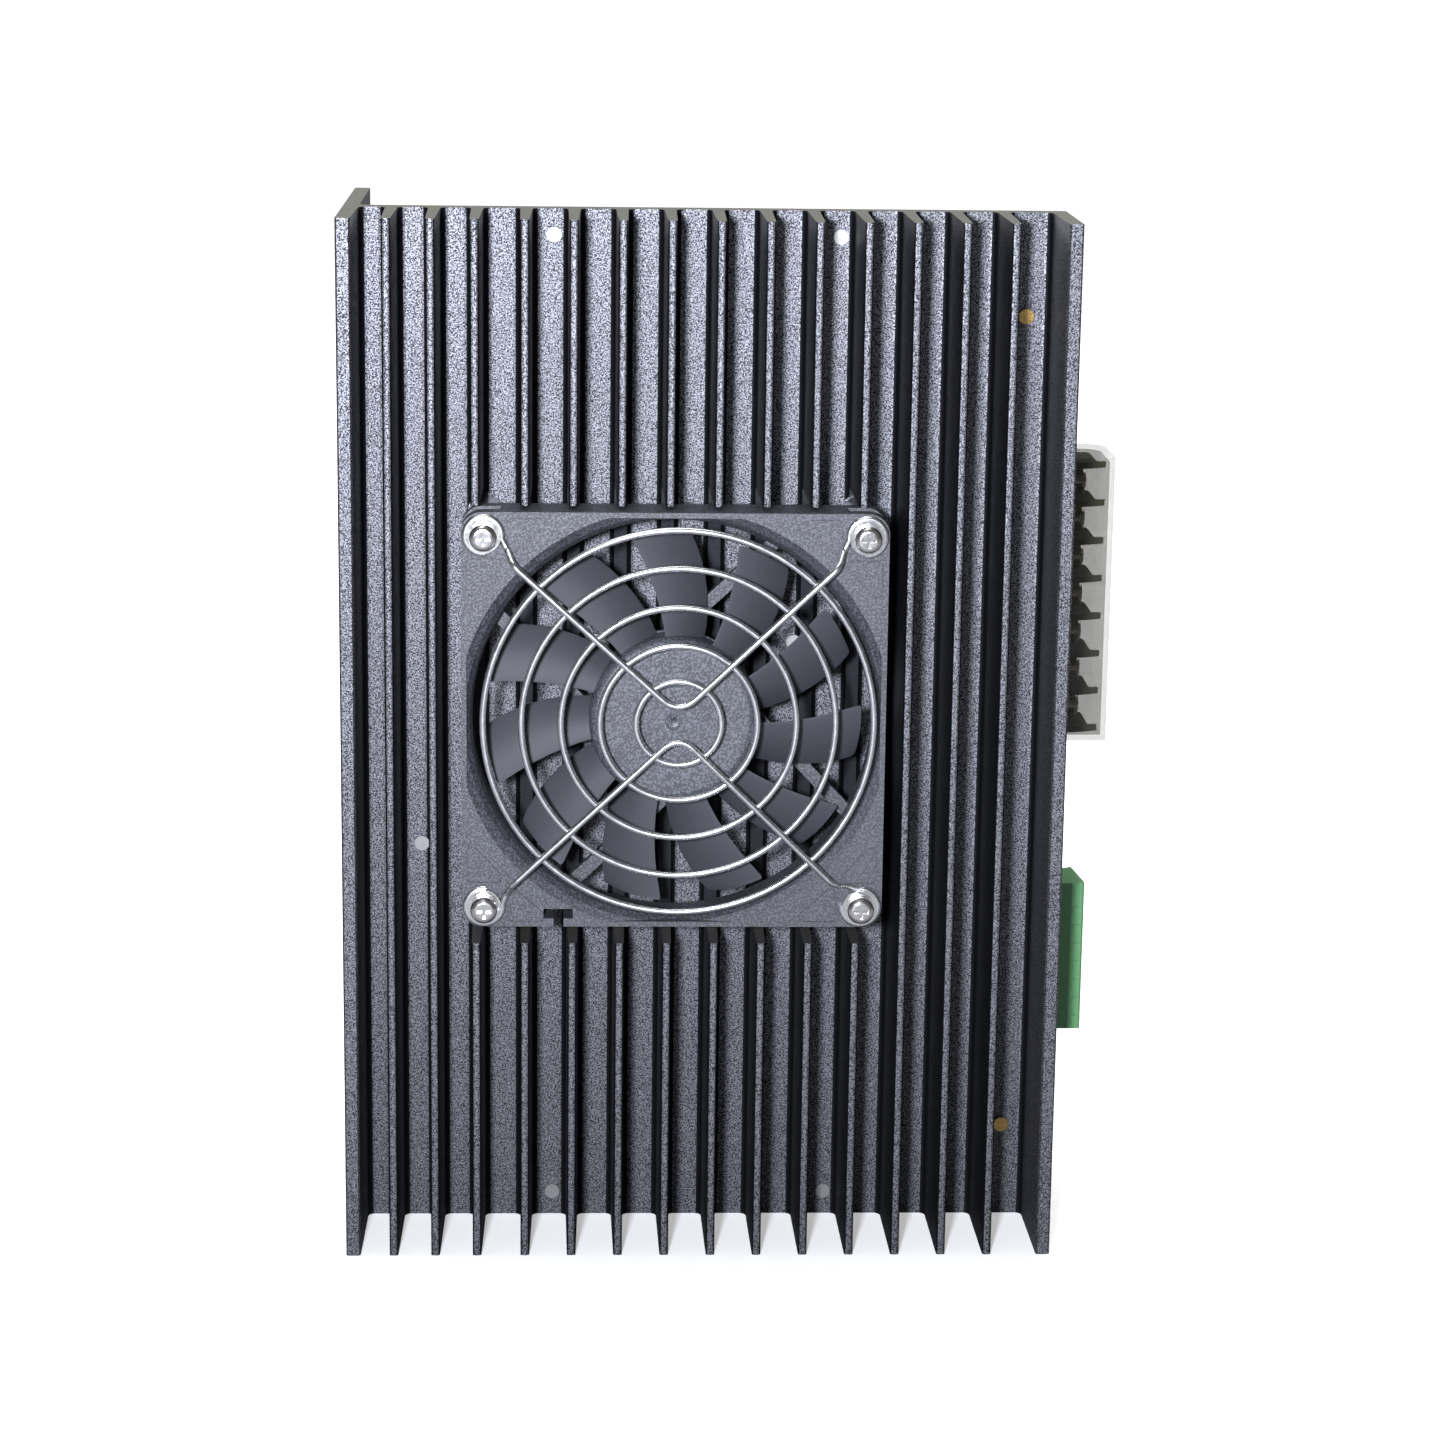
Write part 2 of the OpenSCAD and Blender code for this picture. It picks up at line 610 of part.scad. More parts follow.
module terminal_flap() place() color([0.35, 0.35, 0.33, 0.45]) difference() {
    union() {
        translate([0, 0, flap_z[0]]) linear_extrude(height = flap_z[1] - flap_z[0]) flap_sheet();
        for (z = [flap_z[0], flap_z[1] - flap_end_t]) translate([0, 0, z])
            linear_extrude(height = flap_end_t) flap_end();
    }
    translate([pivot[0], pivot[1], flap_z[0] - 1])
        cylinder(h = flap_z[1] - flap_z[0] + 2, r = pivot_r + 0.05);
}

// ---- signal connector ----

function way_z(i) = plug_z[0] + way_p * (i + 0.5);

module signal_header() place() color("#3f9a55") difference() {
    union() {
        box([header_x, panel_x + 0.2], [nose_y[0] - 1.3, control_y], plug_z + [0.2, -0.2]);
        box([header_x, header_x + 6], [control_y - 0.1, control_y], plug_z);
    }
    box([header_x + 2, panel_x + 2], nose_y + [-0.3, 0.3], plug_z + [1, -1]);
    for (i = [0:way_n - 1]) box([header_x - 1, header_x + 3], at(way_y, [-0.5, 0.5]), at(way_z(i), [-0.5, 0.5]));
}

module header_pins() place() color("#c9c9c4") for (i = [0:way_n - 1]) {
    box([header_x - 1.4, header_x + 8.5], at(way_y, [-0.48, 0.48]), at(way_z(i), [-0.48, 0.48]));
    box([header_x - 2.3, header_x - 1.3], [way_y - 0.48, control_y + 2], at(way_z(i), [-0.48, 0.48]));
}

module plug_profile() {
    polygon([[plug_x[0], plug_y[0]], [plug_x[1] - 0.4, plug_y[0]], [plug_x[1], plug_y[0] + 0.4],
        [plug_x[1], plug_y[0] + 1.8], [plug_x[1] - 1.2, plug_y[1] + 1], [plug_x[1] - 2.9, plug_y[1]],
        [plug_x[0], plug_y[1]]]);
}

module signal_plug() place() color("#4fae66") difference() {
    union() {
        translate([0, 0, plug_z[0]]) linear_extrude(height = plug_z[1] - plug_z[0]) plug_profile();
        box([nose_x, plug_x[0] + 1], nose_y, plug_z + [1.4, -1.4]);
        for (i = [0:way_n - 1]) box([plug_x[1] - 1.9, plug_x[1] - 0.4], [plug_y[0] - 0.3, plug_y[0] + 1],
            at(way_z(i), [-0.95, 0.95]));
    }
    for (i = [0:way_n - 1]) {
        box([nose_x - 1, plug_x[0] - 0.8], at(way_y, [-1, 1]), at(way_z(i), [-1, 1]));
        box([plug_x[0] + 0.8, plug_x[1] + 1], [32.6, 37.4], at(way_z(i), [-1.45, 1.45]));
        bar_y(plug_x[0] + 4, way_z(i), 37, plug_y[1] + 2, 1.4);
    }
}

module plug_clamps() place() color("#b9babd") for (i = [0:way_n - 1]) difference() {
    box([plug_x[0] + 2, plug_x[0] + 6], [32.7, 37.3], at(way_z(i), [-1.4, 1.4]));
    box([plug_x[0] + 1, plug_x[0] + 7], [33.3, 36], at(way_z(i), [-0.9, 0.9]));
    bar_y(plug_x[0] + 4, way_z(i), 35, 38, 1.0);
}

module plug_screws() place() color("#b9babd") for (i = [0:way_n - 1]) difference() {
    union() {
        bar_y(plug_x[0] + 4, way_z(i), 36.2, 38.2, 0.95);
        bar_y(plug_x[0] + 4, way_z(i), 38.2, 40.4, 1.3);
    }
    box(at(plug_x[0] + 4, [-1.4, 1.4]), [39.7, 41], at(way_z(i), [-0.25, 0.25]));
}

// ---- encoder socket ----

// The socket's D shape, drawn with its long side along X
module d_shape(grow) {
    w = 8.1 + grow;
    h = 3.9 + grow;
    polygon([[-w + 0.9, -h], [w - 0.9, -h], [w - 0.2, -h + 0.9], [w, h - 0.9], [w - 0.9, h],
        [-w + 0.9, h], [-w, h - 0.9], [-w + 0.2, -h + 0.9]]);
}

// Lays a flat drawing in the front panel's plane, long side up, from x0 to x1
module in_panel(x0, x1) {
    translate([x0, encoder_yz[0], encoder_yz[1]]) rotate([90, 0, 90]) linear_extrude(height = x1 - x0)
        rotate(90) children();
}

module encoder_shell() place() color("#b5b6b8") difference() {
    union() {
        in_panel(panel_x - sheet_t - 0.8, panel_x - sheet_t) slot_2d(30.8, 12.4);
        in_panel(panel_x - sheet_t, 142.2) d_shape(0.4);
    }
    in_panel(panel_x - 5, 143) d_shape(0);
    for (s = [-1, 1]) bar_x(panel_x - 5, panel_x, encoder_yz[0], encoder_yz[1] + s * jack_pitch / 2, 1.7);
}

module encoder_insert() place() color("#1d1d20") difference() {
    union() {
        in_panel(128, panel_x - sheet_t - 0.8) square([19, 10.6], center = true);
        in_panel(panel_x - sheet_t - 0.8, 141.9) d_shape(-0.03);
    }
    for (row = [-1:1], i = [-2:2]) translate([0, -row * 2, i * 2.29 + row * 0.57])
        bar_x(138, 143, encoder_yz[0], encoder_yz[1], 0.55);
}

module encoder_jackscrews() place() color("#b9babd") for (s = [-1, 1])
    translate([0, encoder_yz[0], encoder_yz[1] + s * jack_pitch / 2]) rotate([0, 90, 0]) difference() {
        union() {
            translate([0, 0, panel_x]) cylinder(h = 4.6, r = 2.7, $fn = 6);
            translate([0, 0, panel_x - 6]) cylinder(h = 6.1, r = m3_r);
        }
        translate([0, 0, panel_x]) cylinder(h = 6, r = 1.2);
    }

// ---- setting switch and lamps ----

function lever_z(i) = lever_first + lever_p * (i - 1);

module switch_body() place() color("#b0202a") difference() {
    box([129, 136], switch_y, switch_z);
    for (i = [1:lever_n]) box([134, 137], at(lever_y, [-1.3, lever_travel + 1.3]), at(lever_z(i), [-0.85, 0.85]));
}

module switch_lever(i) place() color("#e9e9e4")
    box([134.1, 136.7], at(lever_y, [-1, 1]), at(lever_z(i), [-0.6, 0.6]));

module switch_lever_1() { switch_lever(1); }
module switch_lever_2() { switch_lever(2); }
module switch_lever_3() { switch_lever(3); }
module switch_lever_4() { switch_lever(4); }
module switch_lever_5() { switch_lever(5); }
module switch_lever_6() { switch_lever(6); }

module status_lamps() place() for (i = [0, 1]) color(i == 0 ? "#35b04a" : "#c92a22")
    translate([0, lamp_y, lamp_z[i]]) {
        rotate([0, 90, 0]) rotate_extrude() polygon(concat([[0, 129], [1.9, 129],
            [1.9, 130], [1.5, 130]], arc([0, 135.6], 1.5, 0, 90)));
        for (s = [-1, 1]) box([127.4, 129.1], at(s * 1.27, [-0.25, 0.25]), [-0.25, 0.25]);
    }

// ---- boards and power parts ----

module power_board() place() color("#1f5a35") difference() {
    box(power_x, [board_y, board_top], board_z);
    box([122, 135], [board_y - 1, board_top + 1], [33, 71.5]);
    for (p = concat(through_pillars, blind_pillars)) bar_y(p[0], p[1], board_y - 1, board_top + 1, 1.65);
    for (p = concat([rectifier_xz, brake_xz], module_xz)) bar_y(p[0], p[1], board_y - 1, board_top + 1, 3.4);
    for (p = control_posts) bar_y(p[0], p[1], board_y - 1, board_top + 1, 1.3);
}

module control_board() place() color("#1f4f6a") difference() {
    box(control_x, [control_y, control_top], control_z);
    for (p = control_posts) bar_y(p[0], p[1], control_y - 1, control_top + 1, 1.3);
    for (i = [0:way_n - 1]) box([header_x - 2.4, header_x - 1.2], [control_y - 1, control_top + 1],
        at(way_z(i), [-0.6, 0.6]));
}

// Brass pillars: two go right through the plate, and two end inside it
module power_pillars() place() color("#c8a14e") {
    for (p = through_pillars) power_pillar(p, floor_y - 1.2);
    for (p = blind_pillars) power_pillar(p, plate_y - 3.2);
}

module power_pillar(p, tip_y) difference() {
    union() {
        translate([p[0], plate_y, p[1]]) rotate([-90, 0, 0]) cylinder(h = pillar_h, r = 2.9, $fn = 6);
        bar_y(p[0], p[1], tip_y, plate_y + 0.1, m3_r);
    }
    bar_y(p[0], p[1], plate_y + 1.5, board_y + 1, m3_tap_r);
}

module control_pillars() place() color("#e6e3d8") for (p = control_posts) {
    translate([p[0], board_top, p[1]]) rotate([-90, 0, 0]) cylinder(h = control_y - board_top, r = 2.6, $fn = 6);
    bar_y(p[0], p[1], board_y - 1.2, control_top + 1.4, 1.25);
}

module board_screws() place() color("#b9babd") for (p = concat(through_pillars, blind_pillars))
    translate([p[0], board_top, p[1]]) {
        rotate([0, 0, 180]) pan_head(2.55);
        bar_y(0, 0, -5.2, 0, m3_r);
    }

module board_link() place() color("#232427") box([76, 102], [board_top, control_y], [30, 35]);

module bus_capacitors() place() color("#2a2c33") for (c = caps) translate([c[0], board_top, c[1]])
    rotate([-90, 0, 0]) rotate_extrude() polygon([[0, 0], [cap_r - 0.6, 0], [cap_r, 0.6],
        [cap_r, 2.4], [cap_r - 0.7, 3], [cap_r - 0.7, 3.6], [cap_r, 4.2], [cap_r, cap_h - 0.8],
        [cap_r - 0.8, cap_h], [cap_r - 2, cap_h], [cap_r - 2, cap_h - 0.4], [0, cap_h - 0.4]]);

module rectifier() place() color("#222326") difference() {
    union() {
        box(at(rectifier_xz[0], [-9.5, 9.5]), at(plate_y + pad_t, [0, 4.4]), at(rectifier_xz[1], [-13, 17]));
        for (x = [-6.6, -2.2, 2.2, 6.6]) box(at(rectifier_xz[0] + x, [-0.4, 0.4]), at(plate_y, [2, 2.8]),
            at(rectifier_xz[1], [16.9, 21]));
    }
    bar_y(rectifier_xz[0], rectifier_xz[1], plate_y - 1, plate_y + 9, m3_free_r);
}

module brake_transistor() place() color("#26272a") difference() {
    union() {
        box(at(brake_xz[0], [-7.9, 7.9]), at(plate_y + pad_t, [0, 4.4]), at(brake_xz[1], [-14.8, 5.8]));
        for (x = [-5.45, 0, 5.45]) box(at(brake_xz[0] + x, [-0.6, 0.6]), at(plate_y, [2, 2.7]),
            at(brake_xz[1], [-20, -14.7]));
    }
    bar_y(brake_xz[0], brake_xz[1], plate_y - 1, plate_y + 9, m3_free_r);
}

module power_module() place() color("#1e1f22") difference() {
    union() {
        box([module_xz[0][0] - 3, module_xz[1][0] + 3], at(plate_y + pad_t, [0, 4.6]), at(module_xz[0][1], [-12, 12]));
        for (i = [0:11]) box(at(module_xz[0][0] + 4 + i * 2.8, [-0.35, 0.35]), at(plate_y, [2.4, 3]),
            at(module_xz[0][1], [11.9, 15]));
    }
    for (p = module_xz) bar_y(p[0], p[1], plate_y - 1, plate_y + 9, m3_free_r);
}

module thermal_pads() place() color("#c7ccd2") difference() {
    union() {
        box(at(rectifier_xz[0], [-9.5, 9.5]), at(plate_y, [0, pad_t]), at(rectifier_xz[1], [-13, 17]));
        box(at(brake_xz[0], [-7.9, 7.9]), at(plate_y, [0, pad_t]), at(brake_xz[1], [-14.8, 5.8]));
        box([module_xz[0][0] - 3, module_xz[1][0] + 3], at(plate_y, [0, pad_t]), at(module_xz[0][1], [-12, 12]));
    }
    for (p = concat([rectifier_xz, brake_xz], module_xz)) bar_y(p[0], p[1], plate_y - 1, plate_y + 9, m3_free_r);
}

// Screws that press the power parts to the plate; their ends show on the channel floors
module module_screws() place() color("#b9babd") {
    for (p = [rectifier_xz, brake_xz]) plate_screw(p, plate_y + pad_t + 4.4);
    for (p = module_xz) plate_screw(p, plate_y + pad_t + 4.6);
}

module plate_screw(p, seat_y) translate([p[0], seat_y, p[1]]) {
    rotate([0, 0, 180]) pan_head(2.55);
    bar_y(0, 0, floor_y - 0.4 - seat_y, 0, m3_r);
}

choke_at = [112, 165];

module choke_core() place() color("#3a5f3a") translate([choke_at[0], board_top + 1.5, choke_at[1]])
    rotate([-90, 0, 0]) difference() {
        cylinder(h = 10, r = 11);
        translate([0, 0, -1]) cylinder(h = 12, r = 6);
    }

module choke_windings() place() color("#b5652c") translate([choke_at[0], board_top + 0.1, choke_at[1]])
    rotate([-90, 0, 0]) difference() {
        cylinder(h = 12.8, r = 12.4);
        translate([0, 0, -1]) cylinder(h = 15, r = 4.6);
        difference() {
            translate([0, 0, 1.35]) cylinder(h = 10.1, r = 11.06);
            cylinder(h = 13, r = 5.94);
        }
        for (s = [-1, 1]) translate([-5, s * 14 - 7, -1]) cube([10, 14, 15]);
    }

module relay() place() color("#d8d8d2") {
    box([98, 117], [board_top, board_top + 15.6], [110, 125.6]);
}

module control_chips() place() color("#202124") {
    box([84, 98], [control_top, control_top + 1.4], [44, 58]);
    box([66, 76], [control_top, control_top + 1.6], [60, 67]);
    box([106, 113], [control_top, control_top + 1.6], [64, 74]);
    box([104, 115], [control_top, control_top + 3.5], [30, 34]);
}

heatsink();
fan_frame();
fan_rotor();
fan_magnet();
fan_shaft();
fan_bearing();
fan_stator();
finger_guard();
fan_screws();
fan_washers();
fan_spring_washers();
fan_spacers();
cover();
cover_screws();
terminal_block();
terminal_screws();
terminal_clamps();
terminal_flap();
signal_header();
header_pins();
signal_plug();
plug_screws();
plug_clamps();
encoder_shell();
encoder_insert();
encoder_jackscrews();
switch_body();
switch_lever_1();
switch_lever_2();
switch_lever_3();
switch_lever_4();
switch_lever_5();
switch_lever_6();
status_lamps();
power_board();
control_board();
power_pillars();
control_pillars();
board_screws();
board_link();
bus_capacitors();
rectifier();
brake_transistor();
power_module();
thermal_pads();
module_screws();
choke_core();
choke_windings();
relay();
control_chips();
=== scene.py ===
"""Looks of the fan-cooled servo drive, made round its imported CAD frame. All lengths are metres."""
import math

import bmesh
import bpy
from mathutils import Matrix, Vector


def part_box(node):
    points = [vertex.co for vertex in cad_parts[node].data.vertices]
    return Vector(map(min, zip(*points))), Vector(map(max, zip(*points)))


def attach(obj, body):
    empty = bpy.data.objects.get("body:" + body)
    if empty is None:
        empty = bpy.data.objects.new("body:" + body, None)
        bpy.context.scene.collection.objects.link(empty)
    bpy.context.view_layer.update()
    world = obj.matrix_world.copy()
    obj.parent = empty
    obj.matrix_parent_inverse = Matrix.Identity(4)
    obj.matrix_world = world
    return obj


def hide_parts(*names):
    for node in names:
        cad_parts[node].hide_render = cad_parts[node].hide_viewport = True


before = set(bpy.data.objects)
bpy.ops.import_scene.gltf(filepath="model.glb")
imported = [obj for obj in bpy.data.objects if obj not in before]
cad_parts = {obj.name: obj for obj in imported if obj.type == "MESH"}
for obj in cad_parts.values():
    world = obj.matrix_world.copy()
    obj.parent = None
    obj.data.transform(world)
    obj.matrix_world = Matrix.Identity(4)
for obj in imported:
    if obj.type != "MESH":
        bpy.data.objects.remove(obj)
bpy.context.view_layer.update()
MM = 0.001


# --- Tabletop, light and camera -----------------------------------------------------------------
# The drive stands upright on its fins' ends on a white laminate tabletop. A small soft lamp stands
# left of the camera at its height, a broad one hangs overhead, and two stand behind the drive. The
# table shows white to the eye and throws little light back, so that the black metal stays black.
class Tone:
    """A number, colour or direction that varies over a surface: one output of a shader node."""

    def __init__(self, finish, socket):
        self.finish, self.socket = finish, socket

    def maths(self, operation, *terms):
        return self.finish.add("Math", {"operation": operation}, dict(enumerate(terms)))

    def __add__(self, other):
        return self.maths("ADD", self, other)

    def __sub__(self, other):
        return self.maths("SUBTRACT", self, other)

    def __rsub__(self, other):
        return self.maths("SUBTRACT", other, self)

    def __mul__(self, other):
        return self.maths("MULTIPLY", self, other)

    def __abs__(self):
        return self.maths("ABSOLUTE", self)

    __radd__ = __add__
    __rmul__ = __mul__


class Finish:
    """A material as a maker mixes it: grains and masks first, then one call that lays the surface."""

    def __init__(self, name):
        self.material = bpy.data.materials.new(name)
        self.material.use_nodes = True
        self.tree = self.material.node_tree
        self.tree.nodes.clear()
        self.place = self.add("TexCoord", {}, {}, "Object")

    def add(self, kind, settings, sockets, out=0):
        """One shader node, its settings first, then its sockets' values or links."""
        node = self.tree.nodes.new("ShaderNode" + kind)
        for name, value in settings.items():
            setattr(node, name, value)
        for name, value in sockets.items():
            socket = node.inputs[name]
            if isinstance(value, Tone):
                self.tree.links.new(value.socket, socket)
            elif socket.type == "RGBA" and len(value) == 3:
                socket.default_value = (*value, 1)
            else:
                socket.default_value = value
        return None if out is None else Tone(self, node.outputs[out])

    def grain(self, size, detail=2, stretch=(1, 1, 1)):
        """Noise with lumps of this size, drawn out where stretch is over 1."""
        place = self.add("Mapping", {}, {"Vector": self.place, "Scale": [1 / s for s in stretch]})
        return self.add("TexNoise", {}, {"Vector": place, "Scale": 1 / size, "Detail": detail})

    def step(self, tone, low, high):
        """0 below low, 1 above high, with a soft edge between."""
        return self.add("MapRange", {"interpolation_type": "SMOOTHSTEP"},
                        {"Value": tone, "From Min": low, "From Max": high})

    def mix(self, mask, first, second):
        return self.add("Mix", {"data_type": "RGBA"}, {0: mask, 6: first, 7: second}, 2)

    def part(self, tone, axis):
        """The x, y or z of a direction or place."""
        return self.add("SeparateXYZ", {}, {0: tone}, "xyz".index(axis))

    def facing(self, axis):
        """1 on surfaces that face along this axis, either way."""
        normal = self.add("TexCoord", {}, {}, "Normal")
        return self.step(abs(self.part(normal, axis)), 0.90, 0.97)

    def lay(self, colour, roughness, metallic=0.0, height=None, depth=0.0, **fixed):
        """Lays the surface. fixed names other sockets, with _ for spaces, that are the same all over."""
        sockets = {"Base Color": colour, "Roughness": roughness, "Metallic": metallic}
        sockets |= {name.replace("_", " "): value for name, value in fixed.items()}
        if height:
            sockets["Normal"] = self.add("Bump", {}, {"Height": height, "Distance": depth})
        return self.cover(self.add("BsdfPrincipled", {}, sockets))

    def cover(self, surface):
        """Ends the mixing: this shader is the material's surface."""
        self.add("OutputMaterial", {}, {"Surface": surface}, None)
        return self.material


def shade(colour, by):
    return [channel * by for channel in colour]


def laminate():
    finish = Finish("white_laminate")
    cloud = finish.grain(0.25, 3)
    white = finish.mix(cloud, (0.86, 0.86, 0.86), (0.90, 0.90, 0.90))
    glow = finish.add("Emission", {}, {"Color": (1, 1, 1), "Strength": 0.42})
    top = finish.add("AddShader", {}, {0: finish.add("BsdfDiffuse", {}, {"Color": white}), 1: glow})
    dim = finish.add("BsdfDiffuse", {}, {"Color": (0.22, 0.22, 0.23)})
    seen = finish.add("LightPath", {}, {}, "Is Camera Ray")
    return finish.cover(finish.add("MixShader", {}, {0: seen, 1: dim, 2: top}))


HALF_TABLE = 20.0
bm = bmesh.new()
bmesh.ops.create_grid(bm, x_segments=1, y_segments=1, size=HALF_TABLE)
tabletop = bpy.data.objects.new("tabletop", bpy.data.meshes.new("tabletop"))
bm.to_mesh(tabletop.data)
bm.free()
tabletop.data.materials.append(laminate())
bpy.context.collection.objects.link(tabletop)

EYE = Vector((-0.0303, -0.7042, 0.2652))
LOOK_DOWN, LOOK_RIGHT, LEAN = math.radians(13.147), math.radians(2.311), math.radians(0.728)
FOCAL_LENGTH_MM = 91.43

camera = bpy.data.objects.new("camera", bpy.data.cameras.new("camera"))
camera.data.lens = FOCAL_LENGTH_MM
camera.matrix_world = (Matrix.Translation(EYE) @ Matrix.Rotation(-LOOK_RIGHT, 4, "Z")
                       @ Matrix.Rotation(math.pi / 2 - LOOK_DOWN, 4, "X")
                       @ Matrix.Rotation(LEAN, 4, "Z"))
bpy.context.collection.objects.link(camera)
bpy.context.scene.camera = camera


def hang_lamp(name, place, aim, width, power, colour=(1, 1, 1)):
    """A square soft lamp at place, turned towards aim."""
    lamp = bpy.data.objects.new(name, bpy.data.lights.new(name, "AREA"))
    lamp.data.size, lamp.data.energy, lamp.data.color = width, power, colour
    lamp.location = place
    lamp.rotation_mode = "QUATERNION"
    lamp.rotation_quaternion = (Vector(aim) - Vector(place)).to_track_quat("-Z", "Y")
    bpy.context.collection.objects.link(lamp)


hang_lamp("front_lamp", (-0.097, -0.70, 0.27), (0, 0, 0.11), 0.045, 6.7, (0.94, 0.97, 1.10))
for side in (-1, 1):
    hang_lamp("back_lamp", (side * 0.9, 0.9, 0.7), (0, 0, 0.1), 0.7, 14)

skylight = bpy.data.objects.new("skylight", bpy.data.lights.new("skylight", "SUN"))
skylight.data.energy, skylight.data.angle = 2.0, math.radians(50)
skylight.rotation_euler = (math.radians(-12), math.radians(-8), 0)
bpy.context.collection.objects.link(skylight)

room = bpy.data.worlds.new("white_room")
room.use_nodes = True
room.node_tree.nodes["Background"].inputs["Color"].default_value = (1, 1, 1, 1)
room.node_tree.nodes["Background"].inputs["Strength"].default_value = 0.10
bpy.context.scene.world = room
bpy.context.scene.view_settings.view_transform = "Standard"


# --- Heat sink ----------------------------------------------------------------------------------
# One aluminium extrusion with fourteen fins, two flanges and a mounting wall, sawn to length,
# sandblasted and anodised black. The blast leaves fine facets that glint where light meets them. The
# fins' sides, the fillets between them and the stubs milled behind the fan are painted near-black shade.
def dress(material, *names):
    """Gives CAD nodes this material."""
    for name in names:
        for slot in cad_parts[name].material_slots:
            slot.material = material


sink_low, sink_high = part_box("heatsink")
FLANGE, STUB_DEPTH = 2.8 * MM, 21.7 * MM
SINK_MIDDLE = (sink_low.x + sink_high.x) / 2
FLANGE_FACE = (sink_high.x - sink_low.x) / 2 - FLANGE
STUB_FACE = sink_low.y + STUB_DEPTH


def anodised():
    finish = Finish("black_anodised")
    blast = finish.grain(0.0003, 1)
    facets = finish.step(blast, 0.42, 0.60)
    glints = finish.step(finish.grain(0.0002, 0), 0.55, 0.72)
    # Painted shade mask: 0 on the fin sides and fillets inside the channels and on the stub tops behind
    # the fan, 1 on front faces and the flanges' outer faces.
    from_middle = abs(finish.part(finish.place, "x") - SINK_MIDDLE)
    outer = finish.step(from_middle, FLANGE_FACE - 0.3 * MM, FLANGE_FACE)
    from_stubs = abs(finish.part(finish.place, "y") - STUB_FACE)
    off_stubs = finish.step(from_stubs, 0.3 * MM, 0.5 * MM)
    outside_painted_shade = outer.maths("MAXIMUM", finish.facing("y") * off_stubs, outer)
    cut_ends = finish.facing("z")
    saw = finish.grain(0.0002, 2, stretch=(60, 1, 1))
    skin = finish.mix(facets, (0.035, 0.036, 0.040), (0.215, 0.218, 0.235))
    skin = finish.mix(glints * 0.6, skin, (0.46, 0.46, 0.50))
    # Painted shade: where the mask is 0, the blasted skin gives way to this near-black.
    skin = finish.mix(outside_painted_shade, (0.026, 0.027, 0.031), skin)
    ends = finish.mix(saw, (0.16, 0.158, 0.14), (0.30, 0.295, 0.265))
    return finish.lay(finish.mix(cut_ends, skin, ends), 0.60 - 0.12 * facets, 0.95,
                      height=blast, depth=0.00003)


dress(anodised(), "heatsink")


# --- Fan frame ----------------------------------------------------------------------------------
# An 80 mm square frame 10 mm deep with a bell-mouthed bore, moulded from black glass-filled
# plastic with a spark-eroded texture. Four screws at its corners hold it to the heat sink.
def moulded(name, colour, roughness=0.5, grain=0.0003, depth=0.00002, spread=0.25, **fixed):
    """Moulded plastic: a fine mould texture under a slow change of tone."""
    finish = Finish(name)
    texture = finish.grain(grain, 3)
    cloud = finish.grain(0.02, 2)
    speck = finish.step(texture, 0.45, 0.65)
    body = finish.mix(cloud, shade(colour, 1 - spread / 2), shade(colour, 1 + spread / 2))
    body = finish.mix(speck * 0.35, body, shade(colour, 1 + 2 * spread))
    return finish.lay(body, roughness + 0.15 * (texture - 0.5), height=texture, depth=depth, **fixed)


def spark_textured(name, colour):
    """Black plastic from a spark-eroded mould: matt, with fine pale specks."""
    finish = Finish(name)
    pits = finish.grain(0.0004, 1)
    specks = finish.step(pits, 0.42, 0.66)
    rubbed = finish.step(finish.grain(0.012, 3), 0.35, 0.75)
    skin = finish.mix(specks, shade(colour, 0.35), shade(colour, 2.0))
    skin = finish.mix(rubbed * 0.3, skin, shade(colour, 1.4))
    return finish.lay(skin, 0.56 - 0.10 * specks, height=pits, depth=0.00005, Specular_IOR_Level=1.0)


dress(spark_textured("fan_frame_plastic", (0.050, 0.053, 0.064)), "fan_frame")


# --- Fan rotor ----------------------------------------------------------------------------------
# Eleven swept blades round a cup-shaped hub, moulded in one piece. The hub's face carries the
# same spark texture as the frame, with a small ring mark at its centre, and the blades are smoother.
frame_low, frame_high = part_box("fan_frame")
fan_centre = (frame_low + frame_high) / 2
fan_front, fan_back = frame_low.y, frame_high.y
HUB_RADIUS, SHOULDER = 16 * MM, 1.9 * MM
HUB_FRONT, HUB_BACK = fan_front + 1.0 * MM, fan_back - 2.2 * MM
BLADES, FIRST_BLADE = 11, math.radians(16.7)
BLADE_ROOT, BLADE_TIP = 15.4 * MM, 35.6 * MM
BLADE_FRONT, BLADE_DEPTH = fan_front + 2.9 * MM, 4.1 * MM
BLADE_SWEEP, CAMBER = math.radians(12), 0.10
CHORD_AT_ROOT, CHORD_AT_TIP = math.radians(27.5), math.radians(18)
EDGE_THICKNESS, SWELL, THINNING = 0.5 * MM, 0.6 * MM, 0.35
CENTRE_MARK = [(0, 0.22), (0.4, 0.22), (0.55, 0.06), (1.2, 0.06), (1.3, 0.25), (1.5, 0.25), (1.6, 0)]


def turn(bm, profile, steps=96):
    """Turns a line of (radius, y) points round the fan's axis."""
    points = [bm.verts.new((fan_centre.x + r, y, fan_centre.z)) for r, y in profile]
    edges = [bm.edges.new(ends) for ends in zip(points, points[1:])]
    return bmesh.ops.spin(bm, geom=points + edges, cent=fan_centre, axis=(0, 1, 0),
                          angle=2 * math.pi, steps=steps, use_merge=True)


